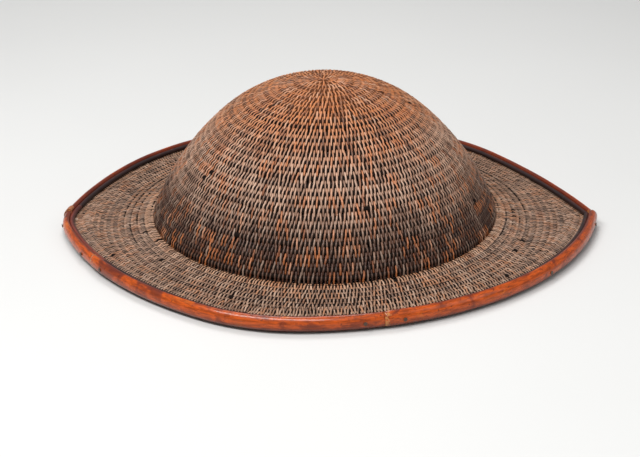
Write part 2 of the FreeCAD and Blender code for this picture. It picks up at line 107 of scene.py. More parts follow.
class HatSizes(bpy.types.PropertyGroup):
    """Sizes of the hat that a maker would change."""

    course_pitch: length("Crown course pitch", "From one crown course to the next", 6.0 * MM)
    brim_pitch: length("Brim course pitch", "From one brim course to the next", BRIM_PITCH)
    dome_radius: length("Dome radius", "Outer radius of the domed top", 120 * MM)
    dome_run: length("Dome run", "Length of the dome from the axis, along the surface", 91 * MM)
    flank_radius: length("Flank radius", "Outer radius of the straighter flank", 207 * MM)
    core_diameter: length("Core diameter", "Core cane of the coil", 4.2 * MM)
    strand_thickness: length("Strand thickness", "Split strand of the stitching", 0.7 * MM)
    strand_width: length("Strand width", "Split strand of the stitching", 1.55 * MM)
    stitch_pitch: length("Stitch pitch", "From one crown stitch to the next", 2.9 * MM)
    brim_stitch_pitch: length("Brim stitch pitch", "From one brim stitch to the next", 2.5 * MM)
    stitch_lap: length("Stitch lap", "How far a stitch reaches into the next course", 1.65 * MM)


class HatColours(bpy.types.PropertyGroup):
    """Colours of the hat's canes."""

    crown_top: tint("Crown top", "Orange tan strands", (0.50, 0.185, 0.065))
    crown_middle: tint("Crown middle", "Rosy tan strands", (0.50, 0.305, 0.21))
    # the foot's darkness is partly the strands' own colour and partly painted shade of the lower crown
    crown_foot: tint("Crown foot", "Dark strands", (0.070, 0.025, 0.012))
    brim: tint("Brim", "Dusty strands", (0.31, 0.18, 0.115))
    # near black: the core's own staining, and painted shade in the holes between the stitches
    core: tint("Core", "Core cane between the stitches", (0.008, 0.005, 0.004))
    rim: tint("Rim", "Lacquered rim cane", (0.44, 0.068, 0.006))
    strip: tint("Rim strip", "Dark strip inside the rim", (0.045, 0.008, 0.006))
    bamboo: tint("Head ring", "Plain split bamboo", (0.42, 0.27, 0.14))


def sizes():
    return bpy.context.scene.hat_sizes


def colours():
    return bpy.context.scene.hat_colours


# ---- shader helpers ----


class Term:
    """A socket that can be added, multiplied and so on, each adding its Math node."""

    def __init__(self, shader, socket):
        self.shader, self.socket = shader, socket

    def _math(self, operation, first, second):
        node = self.shader.add("ShaderNodeMath", {"operation": operation}, {0: first, 1: second})
        return Term(self.shader, node.outputs[0])

    def __add__(self, other):
        return self._math("ADD", self, other)

    def __mul__(self, other):
        return self._math("MULTIPLY", self, other)

    def __sub__(self, other):
        return self._math("SUBTRACT", self, other)

    def __rsub__(self, other):
        return self._math("SUBTRACT", other, self)

    __radd__ = __add__
    __rmul__ = __mul__


class Shader:
    """A new material with a Principled shader, and one way of adding every other node."""

    def __init__(self, name, **constants):
        self.material = bpy.data.materials.new(name)
        self.material.use_nodes = True
        self.tree = self.material.node_tree
        self.base = self.tree.nodes["Principled BSDF"]
        for socket, value in constants.items():
            self.base.inputs[socket.replace("_", " ")].default_value = value

    def add(self, kind, settings=None, inputs=None):
        node = self.tree.nodes.new(kind)
        for key, value in (settings or {}).items():
            setattr(node, key, value)
        for key, value in (inputs or {}).items():
            self._feed(node.inputs[key], value)
        return node

    def _feed(self, socket, value):
        if isinstance(value, Term):
            value = value.socket
        if isinstance(value, bpy.types.NodeSocket):
            self.tree.links.new(value, socket)
        else:
            socket.default_value = value

    def place(self):
        """Object coordinates."""
        return self.add("ShaderNodeTexCoord").outputs["Object"]

    def attribute(self, name):
        return Term(self, self.add("ShaderNodeAttribute", {"attribute_name": name}).outputs["Fac"])

    def uv(self):
        """The piece's own map, as a pair of terms."""
        socket = self.add("ShaderNodeUVMap", {"uv_map": "UVMap"}).outputs[0]
        parts = self.add("ShaderNodeSeparateXYZ", None, {0: socket})
        return Term(self, parts.outputs[0]), Term(self, parts.outputs[1])

    def vector(self, x, y, z):
        return self.add("ShaderNodeCombineXYZ", None, {0: x, 1: y, 2: z}).outputs[0]

    def noise(self, vector, scale, detail=2.0, roughness=0.5, distortion=0.0):
        node = self.add(
            "ShaderNodeTexNoise", None,
            {"Vector": vector, "Scale": scale, "Detail": detail, "Roughness": roughness,
             "Distortion": distortion})
        return Term(self, node.outputs["Fac"])

    def step(self, value, low, high, to_low=0.0, to_high=1.0):
        """Smooth change from to_low to to_high as value goes from low to high."""
        node = self.add(
            "ShaderNodeMapRange", {"interpolation_type": "SMOOTHSTEP"},
            {"Value": value, "From Min": low, "From Max": high,
             "To Min": to_low, "To Max": to_high})
        return Term(self, node.outputs[0])

    def mix(self, factor, first, second, blend="MIX"):
        node = self.add("ShaderNodeMix", {"data_type": "RGBA", "blend_type": blend})
        self._feed(node.inputs["Factor"], factor)
        for socket, value in ((6, first), (7, second)):
            if isinstance(value, (tuple, list)) or hasattr(value, "hsv"):
                value = (*value[:3], 1)
            self._feed(node.inputs[socket], value)
        return node.outputs[2]

    def multiplied(self, first, second):
        return self.mix(1.0, first, second, "MULTIPLY")

    def toned(self, factor, colour, tone):
        """The colour, multiplied by a tone where the factor is 1."""
        return self.mix(factor, colour, self.multiplied(colour, tone))

    def finish(self, colour=None, roughness=None, height=None, bump=0.5, distance=0.0002):
        if colour is not None:
            self._feed(self.base.inputs["Base Color"], colour)
        if roughness is not None:
            self._feed(self.base.inputs["Roughness"], roughness)
        if height is not None:
            node = self.add("ShaderNodeBump", None, {
                "Strength": bump, "Distance": distance, "Height": height})
            self._feed(self.base.inputs["Normal"], node.outputs[0])
        return self.material


ZONE_DRIFT = 26 * MM


def shade(colour, factor):
    return tuple(min(1.0, channel * factor) for channel in colour)


# ---- finishes ----

DARK_NEIGHBOUR = (0.38, 0.31, 0.27)
PALE_NEIGHBOUR = (0.80, 0.60, 0.46)
# painted shade for the strands' edges and ends
EDGE_PAINTED_SHADE = (0.16, 0.12, 0.10)
END_PAINTED_SHADE = (0.42, 0.35, 0.31)
DARK_FIBRE = (0.5, 0.44, 0.4)
# painted highlight on the strands' crests
CREST_PAINTED_HIGHLIGHT = (0.72, 0.52, 0.40)
CHIPPED_CANE = (0.48, 0.20, 0.06)


def strand_finish(name, zones, warm, dull, first_course=None):
    """Split cane strands. zones are (height, colour) from low to high.

    Runs of neighbouring strands along a course turn warm or dull together.
    """
    shader = Shader(name, Specular_IOR_Level=0.35, Coat_Weight=0.1, Coat_Roughness=0.3)
    place = shader.place()
    height = Term(shader, shader.add("ShaderNodeSeparateXYZ", None, {0: place}).outputs[2])
    tone = shader.attribute("tone")
    chance = shader.attribute("chance")
    across, along = shader.uv()
    drift = height + (shader.noise(place, 28, 3, 0.6) - 0.5) * ZONE_DRIFT
    colour = zones[0][1]
    for (low, _), (high, next_colour) in zip(zones, zones[1:]):
        colour = shader.mix(shader.step(drift, low, high), colour, next_colour)
    if first_course is not None:
        innermost = shader.step(shader.attribute("course"), 0.2, 0.8, 0.7, 0)
        colour = shader.mix(innermost, colour, first_course)
    colour = shader.mix(shader.step(tone, 0.53, 0.66, 0, 0.72), colour, warm)
    colour = shader.mix(shader.step(tone, 0.44, 0.30, 0, 0.62), colour, dull)
    # each strand is a little paler or darker than its neighbours
    colour = shader.toned(shader.step(chance, 0.0, 0.5, 0.8, 0), colour, DARK_NEIGHBOUR)
    colour = shader.mix(
        shader.step(chance, 0.72, 1.0, 0, 0.5), colour, shader.mix(0.5, colour, PALE_NEIGHBOUR))
    # painted shade down both edges, where neighbouring strands meet, and at the ends where the strand
    # dives between the courses
    middle = across - 0.4
    edge = shader.step(middle * middle, 0.020, 0.10)
    colour = shader.toned(edge * 0.86, colour, EDGE_PAINTED_SHADE)
    off_middle = along - 0.5
    end = shader.step(off_middle * off_middle, 0.08, 0.24)
    # painted highlight: the crest, where the strand bulges over its core, is made a little paler
    crest = shader.step(off_middle * off_middle, 0.035, 0.0)
    colour = shader.mix(crest * 0.07, colour, CREST_PAINTED_HIGHLIGHT)
    colour = shader.toned(end * 0.55, colour, END_PAINTED_SHADE)
    fibre = shader.noise(
        shader.vector(across * 9.0 + chance * 40.0, along * 1.6, tone * 12.0), 1.0, 3, 0.6)
    colour = shader.toned(shader.step(fibre, 0.35, 0.65, 0.35, 0), colour, DARK_FIBRE)
    rough = shader.step(fibre, 0.3, 0.7, 0.58, 0.38)
    return shader.finish(colour, rough, fibre, 0.35, 0.00012)


def core_finish():
    """Core cane: near black between the stitches, partly its own staining and partly painted shade of the
    deep holes, and browner towards the top of the crown.
    """
    shader = Shader("core cane", Roughness=0.9, Specular_IOR_Level=0.08)
    place = shader.place()
    height = Term(shader, shader.add("ShaderNodeSeparateXYZ", None, {0: place}).outputs[2])
    grain = shader.noise(place, 400, 3, 0.6)
    colour = shader.mix(grain, shade(colours().core, 0.6), shade(colours().core, 1.6))
    near_top = shader.step(height, TOP_Z - 18 * MM, TOP_Z - 4 * MM)
    colour = shader.mix(near_top, colour, (0.10, 0.035, 0.015))
    return shader.finish(colour, None, grain, 0.3, 0.0001)


def lacquer_finish(name, colour, dark, worn, gloss=0.2, mottle=0.6, chipped_start=True):
    """Lacquered cane: along is u of its own map, round the section is v."""
    shader = Shader(name, Coat_Weight=0.3, Coat_Roughness=0.1, Specular_IOR_Level=0.22)
    place = shader.place()
    along, round_section = shader.uv()
    streak = shader.noise(shader.vector(along * 1.1, round_section * 16.0, 0.0), 1.0, 4, 0.6, 0.4)
    fibre = shader.noise(shader.vector(along * 2.4, round_section * 80.0, 3.0), 1.0, 3, 0.6)
    blotch = shader.noise(place, 55, 5, 0.65, 0.6)
    speck = shader.noise(place, 420, 2, 0.5)
    tone = shader.mix(shader.step(streak, 0.32, 0.64), shade(colour, 0.6), shade(colour, 1.3))
    tone = shader.mix(shader.step(fibre, 0.32, 0.62, 0.45, 0), tone, shade(colour, 0.35))
    tone = shader.mix(shader.step(blotch, 0.50, 0.61, 0, mottle), tone, dark)
    tone = shader.mix(shader.step(blotch, 0.42, 0.28, 0, 0.5), tone, worn)
    tone = shader.mix(shader.step(speck, 0.64, 0.72, 0, 0.7), tone, shade(dark, 0.5))
    # painted shade darkens the lower face, and a painted reflection of the dark surroundings darkens the
    # inner shoulder in places
    for wander, low, high, most in ((0.12, 0.25, 0.07, 0.9), (0.5, 0.46, 0.60, 0.85)):
        painted_dark_band = shader.step(round_section + (blotch - 0.5) * wander, low, high, 0, most)
        tone = shader.mix(painted_dark_band, tone, dark)
    if chipped_start:
        # a cane starts at u = 0, where its lacquer has chipped away
        ragged = shader.noise(place, 330, 3, 0.6)
        chipped = shader.step(along + (ragged - 0.5) * 3.2, 0.26, 0.06)
        tone = shader.mix(chipped * 0.75, tone, CHIPPED_CANE)
    rough = shader.step(blotch, 0.3, 0.7, gloss, gloss + 0.2) + speck * 0.08
    return shader.finish(tone, rough, fibre * 0.6 + speck * 0.4, 0.25, 0.00012)


def cut_finish():
    shader = Shader("cut cane end", Roughness=0.7)
    pore = shader.noise(shader.place(), 1500, 2, 0.6)
    colour = shader.mix(shader.step(pore, 0.4, 0.65), (0.60, 0.33, 0.15), (0.28, 0.12, 0.05))
    return shader.finish(colour, None, pore, 0.4, 0.0002)


def bamboo_finish():
    shader = Shader("split bamboo", Roughness=0.5)
    place = shader.place()
    stretch = shader.add(
        "ShaderNodeVectorMath", {"operation": "MULTIPLY"}, {0: place, 1: (1, 1, 9)})
    grain = shader.noise(stretch.outputs[0], 130, 4, 0.6)
    stain = shader.noise(place, 24, 3, 0.6)
    plain = colours().bamboo
    colour = shader.mix(shader.step(grain, 0.35, 0.65), shade(plain, 0.7), shade(plain, 1.15))
    colour = shader.mix(shader.step(stain, 0.45, 0.7, 0, 0.6), colour, shade(plain, 0.4))
    return shader.finish(colour, shader.step(grain, 0.3, 0.7, 0.4, 0.62), grain, 0.3, 0.0002)


def pin_finish():
    shader = Shader("dark pin", Roughness=0.45)
    grain = shader.noise(shader.place(), 900, 2, 0.5)
    colour = shader.mix(grain, (0.03, 0.014, 0.008), (0.09, 0.04, 0.02))
    return shader.finish(colour, None, grain, 0.3, 0.0001)


# ---- objects ----


def linked(name, data):
    obj = bpy.data.objects.new(name, data)
    bpy.context.scene.collection.objects.link(obj)
    return obj


def closed_object(mesh, name, materials=()):
    """An object from a bmesh, with every face turned outwards."""
    bmesh.ops.recalc_face_normals(mesh, faces=mesh.faces)
    data = bpy.data.meshes.new(name)
    mesh.to_mesh(data)
    mesh.free()
    for material in materials:
        data.materials.append(material)
    return linked(name, data)


# ---- the crown's shape and the brim's outline ----

RAY_START = 0.4


def crown_spot(run, depth):
    """Radius, height and slope of the point at a run from the top, at a depth below the surface."""
    s = sizes()
    dome_turn = s.dome_run / s.dome_radius
    if run <= s.dome_run:
        turn = run / s.dome_radius
        arm = s.dome_radius - depth
        return arm * math.sin(turn), TOP_Z - s.dome_radius + arm * math.cos(turn), turn
    turn = dome_turn + (run - s.dome_run) / s.flank_radius
    arm = s.flank_radius - depth
    shift = s.dome_radius - s.flank_radius
    radius = shift * math.sin(dome_turn) + arm * math.sin(turn)
    return radius, TOP_Z - s.dome_radius + shift * math.cos(dome_turn) + arm * math.cos(turn), turn


def outline_points(count=1440):
    """The weave's edge, counter-clockwise from the right point: places and outward directions.

    Rays towards the crown's axis find the outer wall of the outer stitching.
    """
    source = frame["nodes"]["outer_brim_stitching"].data
    tree = BVHTree.FromPolygons(
        [vertex.co for vertex in source.vertices], [face.vertices for face in source.polygons])
    height = EDGE_HIGH.z - (EDGE_HIGH.z - EDGE_LOW.z) * 0.6
    spots = []
    for index in range(count):
        bearing = 2 * math.pi * (index + 0.5) / count
        out = Vector((math.cos(bearing), math.sin(bearing), 0))
        start = Vector((AXIS_X, AXIS_Y, height)) + out * RAY_START
        hit = tree.ray_cast(start, -out)[0]
        if hit is None:
            raise RuntimeError("no outer wall at bearing %g" % math.degrees(bearing))
        spots.append((hit.x, hit.y))
    spots = np.array(spots)
    smooth = spots.copy()
    for _ in range(6):
        smooth[2:-2] = (smooth[1:-3] + 2 * smooth[2:-2] + smooth[3:-1]) / 4
    ahead = np.gradient(smooth, axis=0)
    ahead /= np.linalg.norm(ahead, axis=1)[:, None]
    for _ in range(20):
        ahead[1:-1] = (ahead[:-2] + ahead[1:-1] + ahead[2:]) / 3
    ahead /= np.linalg.norm(ahead, axis=1)[:, None]
    return smooth, np.stack([ahead[:, 1], -ahead[:, 0]], 1)


def inset_line(spots, outward, inset):
    """The outline drawn in by an inset, trimmed where its two ends cross at the right point."""
    line = spots - outward * inset
    bearing = np.arctan2(line[:, 1] - AXIS_Y, line[:, 0] - AXIS_X)
    index = np.arange(len(line))
    quarter = len(line) // 4
    keep = np.where(index < quarter, bearing > 0, (bearing < 0) | (index < 3 * quarter))
    return line[keep], outward[keep]


# ---- the stitching ----


class Stitches:
    """Stitch places: where each strand crosses its core cane."""

    def __init__(self):
        self.rows = []

    def add(self, centres, outward, along, reach, course):
        count = len(centres)
        self.rows.append((
            centres, outward, along, np.broadcast_to(reach, (count,)),
            np.full(count, float(course))))

    def arrays(self):
        return [np.concatenate([row[index] for row in self.rows]) for index in range(5)]

    def cloud(self, name, side, lift):
        """A mesh of one vertex for each stitch, on the outer (1) or inner (-1) side of its core."""
        centres, outward, along, reach, course = self.arrays()
        mesh = bpy.data.meshes.new(name)
        spots = centres + outward * (side * lift)
        mesh.vertices.add(len(spots))
        mesh.vertices.foreach_set("co", spots.astype(np.float32).ravel())
        for key, kind, values in (
            ("outward", "FLOAT_VECTOR", outward * side), ("along", "FLOAT_VECTOR", along),
            ("reach", "FLOAT", reach), ("course", "FLOAT", course)):
            layer = mesh.attributes.new(key, kind, "POINT")
            field = "vector" if kind == "FLOAT_VECTOR" else "value"
            layer.data.foreach_set(field, values.astype(np.float32).ravel())
        return linked(name, mesh)


def ring_of_stitches(stitches, radius, height, turn, count, phase, reach, course, keep=None):
    """Stitches round one circular course."""
    bearing = 2 * math.pi * (np.arange(count) + phase) / count
    if keep is not None:
        bearing = bearing[keep(bearing)]
    wander = (
        0.22 * MM * np.sin(bearing * 3 + course * 1.7)
        + 0.16 * MM * np.sin(bearing * 7 + course * 2.9))
    cos, sin, flat = np.cos(bearing), np.sin(bearing), np.zeros_like(bearing)
    outward = np.stack([cos * math.sin(turn), sin * math.sin(turn), flat + math.cos(turn)], 1)
    down = np.stack([cos * math.cos(turn), sin * math.cos(turn), flat - math.sin(turn)], 1)
    along = np.stack([-sin, cos, flat], 1)
    centres = np.stack([AXIS_X + radius * cos, AXIS_Y + radius * sin, flat + height], 1)
    stitches.add(centres + down * wander[:, None], outward, along, reach, course)


# a strand springs off its core at this share of the core's radius, and dives near its ends
SPRING = 0.76
DIVE_FROM = 0.75
DIVE_DEPTH = 0.45 * MM


def strand_mesh(name, length, width, thickness, core_radius, bend, stations, closed_under):
    """A strand lying over its core: x across, y along the strand, z away from the core."""
    section = [(-1.0, 0.0), (-0.62, 0.72), (0.0, 1.0), (0.62, 0.72), (1.0, 0.0)]
    if not closed_under:
        section = [(-1.0, 0.0), (-0.35, 0.95), (0.35, 0.95), (1.0, 0.0)]
    mesh = bmesh.new()
    layer = mesh.loops.layers.uv.new("UVMap")
    rows = []
    for station in range(stations):
        t = station / (stations - 1)
        y = (t - 0.5) * length
        over = min(abs(y), core_radius * SPRING)
        dive = max(0.0, abs(2 * t - 1) - DIVE_FROM) / (1 - DIVE_FROM)
        z = math.sqrt(core_radius ** 2 - over ** 2) - core_radius - DIVE_DEPTH * dive
        slim = 1.0 + 0.24 * abs(2 * t - 1) - 0.45 * dive ** 2
        x = bend * math.sin((t - 0.5) * math.pi)
        rows.append([
            mesh.verts.new((x + u * width / 2 * slim, y, z + w * thickness * (0.7 + 0.3 * slim)))
            for u, w in section])
    for row, (low, high) in enumerate(zip(rows, rows[1:])):
        around = len(section) if closed_under else len(section) - 1
        for column in range(around):
            corner = (column + 1) % len(section)
            face = mesh.faces.new((low[column], low[corner], high[corner], high[column]))
            u_low, u_high = column / len(section), (column + 1) / len(section)
            v_low, v_high = row / (stations - 1), (row + 1) / (stations - 1)
            for loop, value in zip(face.loops, (
                (u_low, v_low), (u_high, v_low), (u_high, v_high), (u_low, v_high))):
                loop[layer].uv = value
            face.smooth = column < len(section) - 1
    if not closed_under:
        for low, high in zip(rows, rows[1:]):
            mesh.faces.new((low[-1], low[0], high[0], high[-1]))
    mesh.faces.new(rows[0])
    mesh.faces.new(rows[-1][::-1])
    return closed_object(mesh, name)


def strand_kinds(name, length, fine):
    """A few strands that differ in bend and breadth, in a collection of their own."""
    s = sizes()
    group = bpy.data.collections.new(name)
    bpy.context.scene.collection.children.link(group)
    kinds = ((0.08, 1.00), (0.16, 0.94), (-0.06, 1.06), (0.20, 1.02), (0.02, 0.90))
    for index, (bend, breadth) in enumerate(kinds):
        strand = strand_mesh(
            "%s %d" % (name, index), length, s.strand_width * breadth, s.strand_thickness,
            s.core_diameter / 2, bend * s.strand_width * 1.6, 8 if fine else 5, fine)
        bpy.context.scene.collection.objects.unlink(strand)
        group.objects.link(strand)
    return group


class StitchTree:
    """Geometry nodes that lay one strand at each stitch place."""

    INPUTS = (
        ("Strands", "NodeSocketCollection", None), ("Finish", "NodeSocketMaterial", None),
        ("Sideways Play", "NodeSocketFloat", 0.16 * MM), ("Turn Play", "NodeSocketFloat", 0.07),
        ("Breadth Play", "NodeSocketFloat", 0.12), ("Lift Play", "NodeSocketFloat", 0.10 * MM),
        ("Missing", "NodeSocketFloat", 0.003), ("Seed", "NodeSocketInt", 0))

    def __init__(self):
        self.tree = bpy.data.node_groups.new("Stitching", "GeometryNodeTree")
        face = self.tree.interface
        face.new_socket("Geometry", in_out="INPUT", socket_type="NodeSocketGeometry")
        for name, kind, default in self.INPUTS:
            socket = face.new_socket(name, in_out="INPUT", socket_type=kind)
            if default is not None:
                socket.default_value = default
        face.new_socket("Geometry", in_out="OUTPUT", socket_type="NodeSocketGeometry")
        self.group = self.tree.nodes.new("NodeGroupInput")
        self.build()

    def add(self, kind, settings=None, inputs=None):
        node = self.tree.nodes.new(kind)
        for key, value in (settings or {}).items():
            setattr(node, key, value)
        for key, value in (inputs or {}).items():
            if isinstance(value, bpy.types.NodeSocket):
                self.tree.links.new(value, node.inputs[key])
            else:
                node.inputs[key].default_value = value
        return node

    def named(self, name, kind="FLOAT"):
        node = self.add("GeometryNodeInputNamedAttribute", {"data_type": kind}, {"Name": name})
        return node.outputs[0]

    def math(self, operation, first, second):
        node = self.add("ShaderNodeMath", {"operation": operation}, {0: first, 1: second})
        return node.outputs[0]

    def random(self, low, high, offset):
        seed = self.math("ADD", self.group.outputs["Seed"], float(offset))
        node = self.add("FunctionNodeRandomValue", {"data_type": "FLOAT"}, {"Seed": seed})
        for key, value in ((2, low), (3, high)):
            if isinstance(value, bpy.types.NodeSocket):
                self.tree.links.new(value, node.inputs[key])
            else:
                node.inputs[key].default_value = value
        return node.outputs[1]

    def swing(self, span, offset):
        """A random value between minus and plus a span."""
        return self.math("MULTIPLY", self.random(-1.0, 1.0, offset), span)

    def build(self):
        given = self.group.outputs
        outward, along = self.named("outward", "FLOAT_VECTOR"), self.named("along", "FLOAT_VECTOR")
        gone = self.math("LESS_THAN", self.random(0.0, 1.0, 1), given["Missing"])
        points = self.add("GeometryNodeDeleteGeometry", {"domain": "POINT"}, {
            "Geometry": given["Geometry"], "Selection": gone}).outputs[0]
        shift = [
            self.add("ShaderNodeVectorMath", {"operation": "SCALE"}, {
                0: way, "Scale": self.swing(given[span], seed)})
            for way, span, seed in ((along, "Sideways Play", 2), (outward, "Lift Play", 3))]
        offset = self.add("ShaderNodeVectorMath", {"operation": "ADD"}, {
            0: shift[0].outputs[0], 1: shift[1].outputs[0]}).outputs[0]
        points = self.add("GeometryNodeSetPosition", None, {
            "Geometry": points, "Offset": offset}).outputs[0]
        facing = self.add("FunctionNodeAxesToRotation", {"primary_axis": "Z", "secondary_axis": "X"}, {
            "Primary Axis": outward, "Secondary Axis": along}).outputs[0]
        turn = self.add("ShaderNodeCombineXYZ", None, {2: self.swing(given["Turn Play"], 4)}).outputs[0]
        turn = self.add("FunctionNodeEulerToRotation", None, {0: turn}).outputs[0]
        facing = self.add("FunctionNodeRotateRotation", {"rotation_space": "LOCAL"}, {
            0: facing, 1: turn}).outputs[0]
        breadth = self.math("ADD", self.swing(given["Breadth Play"], 5), 1.0)
        scale = self.add("ShaderNodeCombineXYZ", None, {
            0: breadth, 1: self.named("reach"), 2: 1.0}).outputs[0]
        kinds = self.add("GeometryNodeCollectionInfo", None, {
            "Collection": given["Strands"], "Separate Children": True, "Reset Children": True}).outputs[0]
        place = self.add("GeometryNodeInputPosition").outputs[0]
        laid = self.add("GeometryNodeInstanceOnPoints", None, {
            "Points": points, "Instance": kinds, "Pick Instance": True,
            "Rotation": facing, "Scale": scale}).outputs[0]
        drift = self.add("ShaderNodeTexNoise", {"noise_dimensions": "4D"}, {
            "Vector": place, "W": self.math("MULTIPLY", self.named("course"), 3.7),
            "Scale": 26.0, "Detail": 3.0})
        blend = self.math(
            "ADD", self.math("MULTIPLY", drift.outputs[0], 0.72), self.random(0.0, 0.28, 6))
        for name, value in (("tone", blend), ("chance", self.random(0.0, 1.0, 7))):
            kind = {"data_type": "FLOAT", "domain": "INSTANCE"}
            laid = self.add("GeometryNodeStoreNamedAttribute", kind, {
                "Geometry": laid, "Name": name, "Value": value}).outputs[0]
        real = self.add("GeometryNodeRealizeInstances", None, {0: laid}).outputs[0]
        done = self.add("GeometryNodeSetMaterial", None, {
            "Geometry": real, "Material": given["Finish"]}).outputs[0]
        self.add("NodeGroupOutput", None, {0: done})

    def lay(self, cloud, name, strands, finish, seed, **plays):
        """Lay the strands on a cloud of stitch places and return a plain mesh object."""
        modifier = cloud.modifiers.new("Stitching", "NODES")
        modifier.node_group = self.tree
        keys = {
            item.name: item.identifier for item in self.tree.interface.items_tree
            if item.in_out == "INPUT"}
        for key, value in {"Strands": strands, "Finish": finish, "Seed": seed, **plays}.items():
            modifier[keys[key.replace("_", " ")]] = value
        return plain_mesh(cloud, name)


def plain_mesh(source, name):
    """The evaluated object as a mesh of its own. The source goes."""
    bpy.context.view_layer.update()
    graph = bpy.context.evaluated_depsgraph_get()
    mesh = bpy.data.meshes.new_from_object(
        source.evaluated_get(graph), preserve_all_data_layers=True, depsgraph=graph)
    mesh.name = name
    bpy.data.objects.remove(source)
    return linked(name, mesh)


def add_piece(obj, slot, *nodes):
    """Every finished piece rides on the one body."""
    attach(obj, "root")
    if nodes:
        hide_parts(*nodes)
    return obj


def drop_strands(group):
    for obj in list(group.objects):
        bpy.data.objects.remove(obj)
    bpy.data.collections.remove(group)


# ---- courses of the crown and brim ----

CROWN_COURSES = 30
INNER_COURSES = 5
OUTER_COURSES = 3
SLOPE = 0.2
SLOPE_TURN = math.atan(SLOPE)
# crown courses that share one stitch count, so that their stitches interlock
COUNT_STEPS = (1, 2, 3, 5, 7, 9, 12, 15, 19, 23, 27, 31)
OUTSIDE_PARTS = ((1, 16), (16, 24), (24, 31))
SHORTEST_FILL = 0.8 * MM
# more than the brim has room for at its widest: courses without room get no stitches
SHORT_COURSE_TRIES = 7
# the outer courses are numbered from here, clear of the others
FIRST_OUTER_COURSE = 20
# from the crown's foot to the middle of the inner courses
INNER_MIDDLE = 13 * MM
EDGE_HIGH_Z = SHORT_Z - OUTER_COURSES * BRIM_PITCH * SLOPE
# strands lie this far into their core
SINK = 0.1 * MM


def core_depth():
    return sizes().strand_thickness + sizes().core_diameter / 2


def strand_length():
    return sizes().course_pitch + 2 * sizes().stitch_lap


def crown_stitches(first, last):
    s = sizes()
    stitches = Stitches()
    for course in range(first, last):
        radius, height, turn = crown_spot((course - 0.5) * s.course_pitch, core_depth())
        step = max(index for index, start in enumerate(COUNT_STEPS) if start <= course)
        middle = course
        if step + 1 < len(COUNT_STEPS):
            middle = (COUNT_STEPS[step] + COUNT_STEPS[step + 1] - 1) / 2
        shared = crown_spot((middle - 0.5) * s.course_pitch, core_depth())[0]
        count = max(6, round(2 * math.pi * shared / s.stitch_pitch))
        phase = 0.5 * (course % 2) + 0.37 * step
        reach = 0.62 if course == 1 else 1.0
        ring_of_stitches(stitches, radius, height, turn, count, phase, reach, course)
    return stitches


def brim_height(beyond_foot):
    """Height of the brim's top at a distance out from the crown's foot, over the inner courses."""
    return FOLD_Z - beyond_foot * SLOPE


def ring_count():
    return round(2 * math.pi * (FOOT_RADIUS + INNER_MIDDLE) / sizes().brim_stitch_pitch)


def inner_brim_stitches():
    s = sizes()
    stitches = Stitches()
    reach = (s.brim_pitch + 2 * s.stitch_lap) / strand_length()
    for course in range(INNER_COURSES):
        out = (course + 0.5) * s.brim_pitch
        ring_of_stitches(
            stitches, FOOT_RADIUS + out, brim_height(out) - core_depth(), SLOPE_TURN, ring_count(),
            0.5 * (course % 2), reach, course)
    return stitches


def add_short_courses(stitches, spots, outward):
    """Short courses between the circles and the outer courses, with a last one that fills the rest."""
    s = sizes()
    bound = spots - outward * (OUTER_COURSES * s.brim_pitch)
    offset = bound - np.array([AXIS_X, AXIS_Y])
    bearing = np.arctan2(offset[:, 1], offset[:, 0]) % (2 * math.pi)
    order = np.argsort(bearing)
    room_at = np.hypot(offset[:, 0], offset[:, 1])[order]
    count = ring_count()
    for course in range(SHORT_COURSE_TRIES):
        angle = 2 * math.pi * (np.arange(count) + 0.5 * ((course + INNER_COURSES) % 2)) / count
        room = np.interp(angle, bearing[order], room_at) - INNER_RADIUS - course * s.brim_pitch
        width = np.clip(room, 0, s.brim_pitch)
        for index in np.nonzero(width > SHORTEST_FILL)[0]:
            out = INNER_RADIUS + course * s.brim_pitch + width[index] / 2
            cos, sin = math.cos(angle[index]), math.sin(angle[index])
            centre = (AXIS_X + out * cos, AXIS_Y + out * sin, SHORT_Z - core_depth())
            stitches.add(
                np.array([centre]), np.array([(0, 0, 1.0)]), np.array([(-sin, cos, 0)]),
                (width[index] + 2 * s.stitch_lap) / strand_length(), INNER_COURSES + course)


def outer_brim_stitches(spots, outward):
    s = sizes()
    stitches = Stitches()
    run = np.concatenate([[0], np.cumsum(np.hypot(*np.diff(spots, axis=0).T))])
    count = round(run[-1] / s.brim_stitch_pitch)
    for course in range(OUTER_COURSES):
        inset = (course + 0.5) * s.brim_pitch
        reach = (s.brim_pitch + 2 * s.stitch_lap) / strand_length()
        if course == 0:
            # the edge course stops short of the rim
            inset += 0.5 * s.stitch_lap
            reach = (s.brim_pitch + s.stitch_lap) / strand_length()
        place = (np.arange(count) + 0.5 * (course % 2)) * run[-1] / count
        line = np.stack([np.interp(place, run, spots[:, axis]) for axis in (0, 1)], 1)
        out = np.stack([np.interp(place, run, outward[:, axis]) for axis in (0, 1)], 1)
        out /= np.linalg.norm(out, axis=1)[:, None]
        line, out = inset_line(line, out, inset)
        flat = np.zeros(len(line))
        height = EDGE_HIGH_Z + SLOPE * inset - core_depth()
        centres = np.stack([line[:, 0], line[:, 1], flat + height], 1)
        lean, rise = math.sin(SLOPE_TURN), math.cos(SLOPE_TURN)
        up = np.stack([out[:, 0] * lean, out[:, 1] * lean, flat + rise], 1)
        along = np.stack([-out[:, 1], out[:, 0], flat], 1)
        stitches.add(centres, up, along, reach, FIRST_OUTER_COURSE + course)
    return stitches


# ---- sweeps along the rim ----


